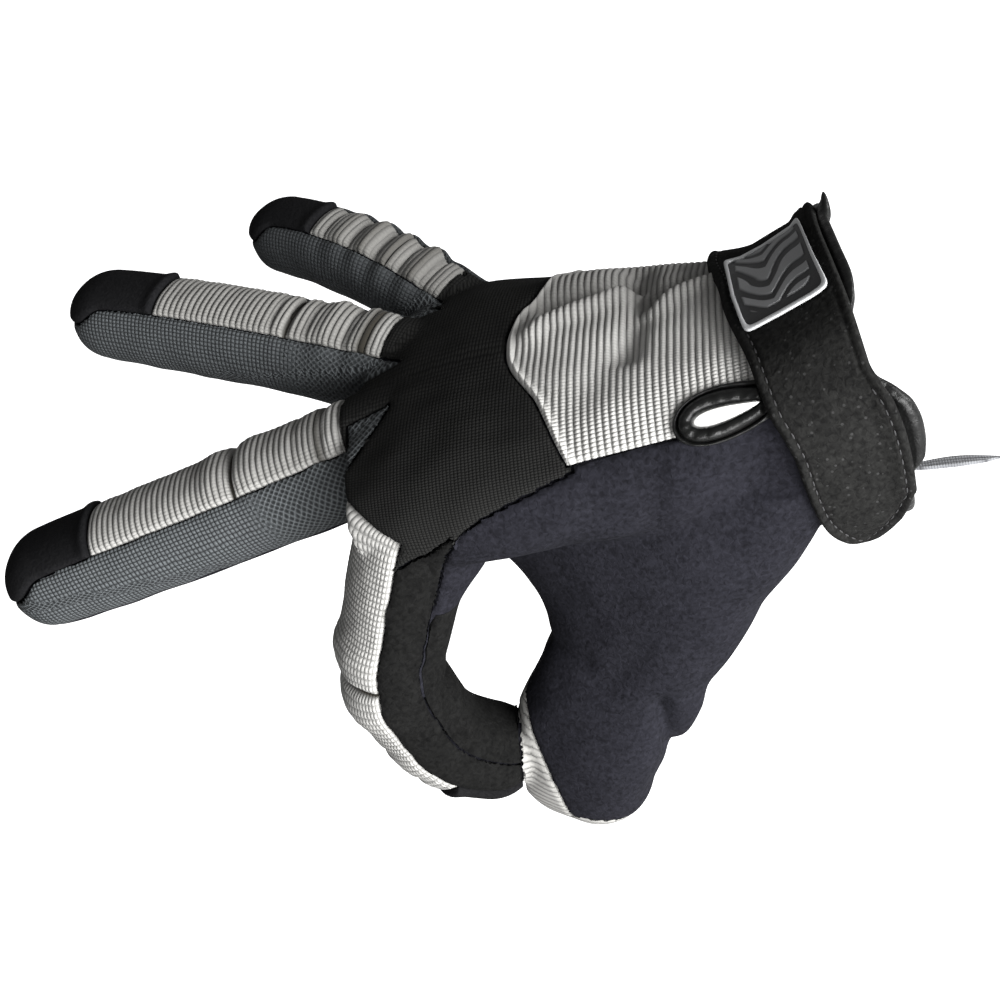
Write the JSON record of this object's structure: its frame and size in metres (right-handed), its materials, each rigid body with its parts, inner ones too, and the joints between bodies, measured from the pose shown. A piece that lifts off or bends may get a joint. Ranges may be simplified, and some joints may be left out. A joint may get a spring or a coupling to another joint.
{
  "type": "tactical glove",
  "caption": "Right-hand work glove with ribbed knit back, suede palm, strapped wrist and badge, held as if worn with the tips of forefinger and thumb together.",
  "frame": {"origin": "centre of the cuff's mouth, where the hand goes in", "axes": "+X out of the mouth along the forearm, so the fingers point to -X; -Y the thumb side; +Z the back of the hand"},
  "size_m": [0.2245, 0.1303, 0.1392],
  "materials": {
    "ribbed_knit": "light grey ribbed stretch knit",
    "mesh_gusset": "cool grey basket-weave mesh",
    "black_suede": "matt black synthetic leather",
    "palm_suede": "blue-black synthetic suede",
    "black_knit": "black fine stretch knit",
    "strap_felt": "black brushed loop fabric",
    "binding_tape": "black rolled binding tape",
    "badge_rubber": "charcoal moulded rubber",
    "badge_edge": "light grey moulded rubber",
    "tab_webbing": "grey woven webbing"
  },
  "bodies": {
    "root": {"forefinger_back_lower": "ribbed_knit", "forefinger_back_upper": "ribbed_knit", "middle_back_lower": "ribbed_knit", "middle_back_upper": "ribbed_knit", "ring_back_lower": "ribbed_knit", "ring_back_upper": "ribbed_knit", "little_back_lower": "ribbed_knit", "little_back_upper": "ribbed_knit", "back_panel": "ribbed_knit", "gusset_forefinger_middle": "mesh_gusset", "gusset_middle_ring": "mesh_gusset", "gusset_ring_little": "mesh_gusset", "little_side": "mesh_gusset", "thumb_gusset": "mesh_gusset", "forefinger_cap": "black_suede", "middle_cap": "black_suede", "ring_cap": "black_suede", "little_cap": "black_suede", "forefinger_pad": "palm_suede", "middle_pad": "palm_suede", "ring_pad": "palm_suede", "little_pad": "palm_suede", "palm_panel": "palm_suede", "knuckle_panel": "black_knit", "strap": "strap_felt", "cuff_binding": "binding_tape", "slit_binding": "binding_tape", "badge_plate": "badge_rubber", "badge_frame": "badge_edge", "pull_tab": "tab_webbing"}
  },
  "joints": []
}
